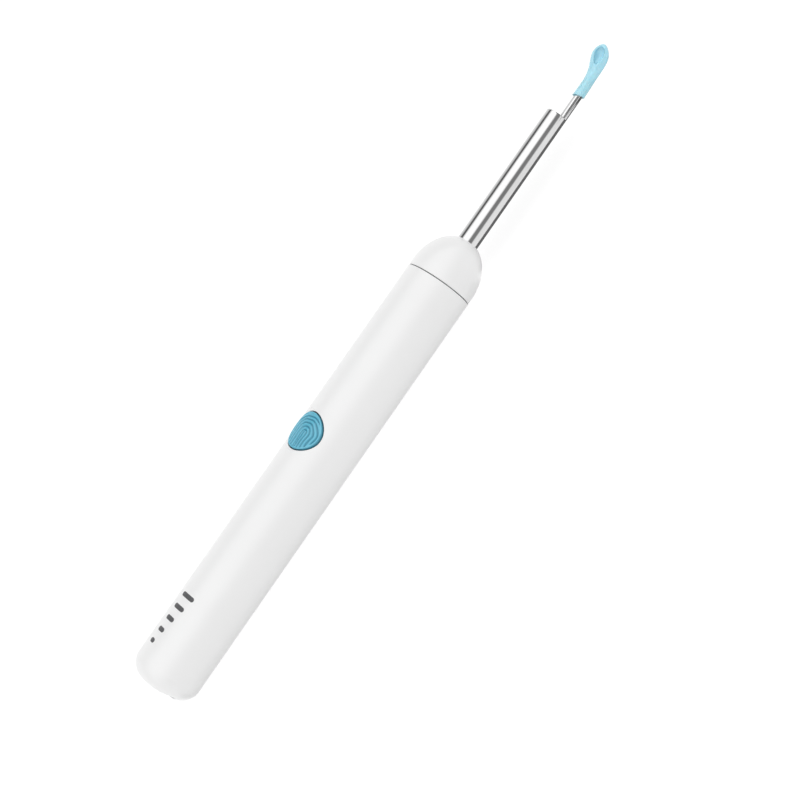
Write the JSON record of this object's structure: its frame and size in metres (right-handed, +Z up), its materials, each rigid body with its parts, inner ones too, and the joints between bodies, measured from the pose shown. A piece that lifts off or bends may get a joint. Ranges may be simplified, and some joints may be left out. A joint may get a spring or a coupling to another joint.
{
  "type": "ear wax cleaner",
  "caption": "Slim white camera ear pick: round grip with a push button and charging port, domed nose, steel lens tube, and a soft spoon on a thin rod.",
  "frame": {"origin": "on the surface that the pen lies on, below the middle of its length", "axes": "+X along the pen from the charging end to the spoon, +Z up out of the button, +Y to the left when looking towards the spoon"},
  "size_m": [0.1352, 0.0124, 0.0127],
  "materials": {
    "shell_white": "satin moulded plastic",
    "seam_grey": "matte seal",
    "tube_steel": "polished stainless steel",
    "screw_steel": "plated steel",
    "port_steel": "nickel plated sheet",
    "can_steel": "tinned sheet",
    "brass": "turned",
    "black_plastic": "matte moulded plastic",
    "chassis_grey": "matte moulded plastic",
    "button_blue": "satin soft-touch plastic",
    "silicone_blue": "translucent silicone",
    "lens_glass": "polished",
    "filter_glass": "coated",
    "board_green": "solder mask",
    "flex_amber": "polyimide film",
    "chip_black": "moulded epoxy",
    "led_yellow": "phosphor resin",
    "ceramic": "fired ceramic",
    "cell_foil": "laminated foil",
    "foam_black": "closed-cell foam",
    "wire_red": "insulation",
    "wire_black": "insulation"
  },
  "bodies": {
    "handle": {"body_sleeve": "shell_white", "nose_cap": "shell_white", "seam_gasket": "seam_grey", "inner_chassis": "chassis_grey", "tube_ferrule": "brass", "lens_tube": "tube_steel", "board_screw_1": "screw_steel", "board_screw_2": "screw_steel", "nose_screw_1": "screw_steel", "nose_screw_2": "screw_steel", "front_bezel": "black_plastic", "light_guide": "lens_glass", "led_board": "board_green", "module_housing": "black_plastic", "led_1": "led_yellow", "led_2": "led_yellow", "led_3": "led_yellow", "led_4": "led_yellow", "led_5": "led_yellow", "led_6": "led_yellow", "cover_lens": "lens_glass", "lens_barrel": "black_plastic", "lens_element_front": "lens_glass", "lens_element_rear": "lens_glass", "ir_cut_filter": "filter_glass", "image_sensor": "chip_black", "sensor_board": "board_green", "camera_flex": "flex_amber", "main_board": "board_green", "charge_port_shell": "port_steel", "charge_port_tongue": "black_plastic", "wifi_shield_can": "can_steel", "processor_chip": "chip_black", "flash_chip": "chip_black", "gyro_chip": "chip_black", "charger_chip": "chip_black", "power_inductor": "chip_black", "crystal": "can_steel", "chip_antenna": "ceramic", "status_led": "led_yellow", "flex_connector": "black_plastic", "switch_body": "black_plastic", "battery_cell": "cell_foil", "battery_foam": "foam_black", "battery_protection_board": "board_green", "battery_wire_red": "wire_red", "battery_wire_black": "wire_black"},
    "button": {"button_cap": "button_blue", "switch_plunger": "ceramic"},
    "pick": {"pick_rod": "tube_steel"},
    "tip": {"spoon_tip": "silicone_blue"}
  },
  "joints": [
    {"name": "button_press", "type": "slide", "parent": "handle", "child": "button", "axis": [0, 0, -1], "range_m": [0, 0.0003], "stiffness_N_per_m": 4000},
    {"name": "tip_twist", "type": "hinge", "parent": "handle", "child": "pick", "pos_m": [0.055, -0.00082, 0.00533], "axis": [1, 0, 0], "continuous": true},
    {"name": "tip_pull", "type": "slide", "parent": "pick", "child": "tip", "axis": [1, 0, 0], "range_m": [0, 0.0041]}
  ]
}
